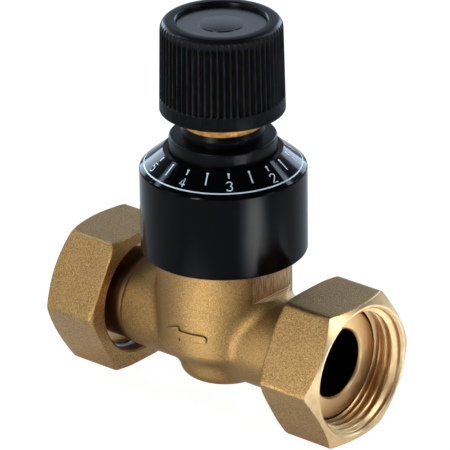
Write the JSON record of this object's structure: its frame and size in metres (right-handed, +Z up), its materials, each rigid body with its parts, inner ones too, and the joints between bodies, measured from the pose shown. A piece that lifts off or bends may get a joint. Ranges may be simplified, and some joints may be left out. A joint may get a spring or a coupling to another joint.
{
  "type": "differential pressure valve",
  "caption": "Brass differential pressure overflow valve with swivel union nuts, a black scale sleeve and a hand knob that sets the spring load.",
  "frame": {"origin": "crossing of the pipe axis and the spindle axis", "axes": "+X along the pipe towards the inlet, +Z up along the spindle to the knob, +Y away from the flow arrow's side"},
  "size_m": [0.09, 0.043, 0.1036],
  "materials": {
    "cast_brass": "shot-blasted casting",
    "nut_brass": "shot-blasted hexagon with machined front face and bore",
    "turned_brass": "fine turned",
    "ring_steel": "drawn wire and plain steel",
    "spring_steel": "drawn stainless wire",
    "black_sleeve": "black anodised, fine turned",
    "gloss_black_ring": "glossy",
    "black_knob": "semi-matte moulded",
    "knob_cap": "satin moulded",
    "seal_rubber": "smooth",
    "slip_washer": "smooth low-friction plastic",
    "fibre_gasket": "pressed fibre"
  },
  "bodies": {
    "valve": {"valve_body": "cast_brass", "bonnet_gasket": "fibre_gasket", "bonnet": "turned_brass", "scale_sleeve": "black_sleeve", "sleeve_ring_nut": "gloss_black_ring", "thrust_washer": "slip_washer", "upper_washer": "slip_washer"},
    "knob_set": {"knob": "black_knob", "knob_cover": "knob_cap", "knob_screw": "ring_steel", "screw_washer": "ring_steel", "adjusting_spindle": "turned_brass", "spindle_oring_upper": "seal_rubber", "spindle_oring_lower": "seal_rubber", "spindle_circlip": "ring_steel"},
    "carrier": {"spring_carrier": "turned_brass", "setting_spring": "spring_steel"},
    "disc": {"valve_disc": "turned_brass", "disc_seal": "seal_rubber", "seal_retainer": "turned_brass", "retainer_nut": "turned_brass", "lift_stem": "spring_steel"},
    "inlet_ring": {"inlet_snap_ring": "ring_steel"},
    "inlet_nut": {"inlet_union_nut": "nut_brass"},
    "outlet_ring": {"outlet_snap_ring": "ring_steel"},
    "outlet_nut": {"outlet_union_nut": "nut_brass"}
  },
  "joints": [
    {"name": "knob_turn", "type": "hinge", "parent": "valve", "child": "knob_set", "pos_m": [0, 0, 0], "axis": [0, 0, -1], "range_deg": [0, 171]},
    {"name": "carrier_slide", "type": "slide", "parent": "valve", "child": "carrier", "axis": [0, 0, -1], "range_m": [0, 0.0057], "deforming": ["setting_spring"]},
    {"name": "disc_lift", "type": "slide", "parent": "valve", "child": "disc", "axis": [0, 0, 1], "range_m": [0, 0.0045], "stiffness_N_per_m": 900, "springref_m": -0.0045, "deforming": ["setting_spring"]},
    {"name": "inlet_nut_slide", "type": "slide", "parent": "valve", "child": "inlet_ring", "axis": [-1, 0, 0], "range_m": [0, 0.008]},
    {"name": "inlet_nut_turn", "type": "hinge", "parent": "inlet_ring", "child": "inlet_nut", "pos_m": [0.0365, 0, 0], "axis": [1, 0, 0], "continuous": true},
    {"name": "outlet_nut_slide", "type": "slide", "parent": "valve", "child": "outlet_ring", "axis": [1, 0, 0], "range_m": [0, 0.008]},
    {"name": "outlet_nut_turn", "type": "hinge", "parent": "outlet_ring", "child": "outlet_nut", "pos_m": [-0.0365, 0, 0], "axis": [-1, 0, 0], "continuous": true}
  ],
  "couplings": [
    {"joint": "knob_turn", "follows": "carrier_slide", "rad_per_m": 523.6}
  ]
}
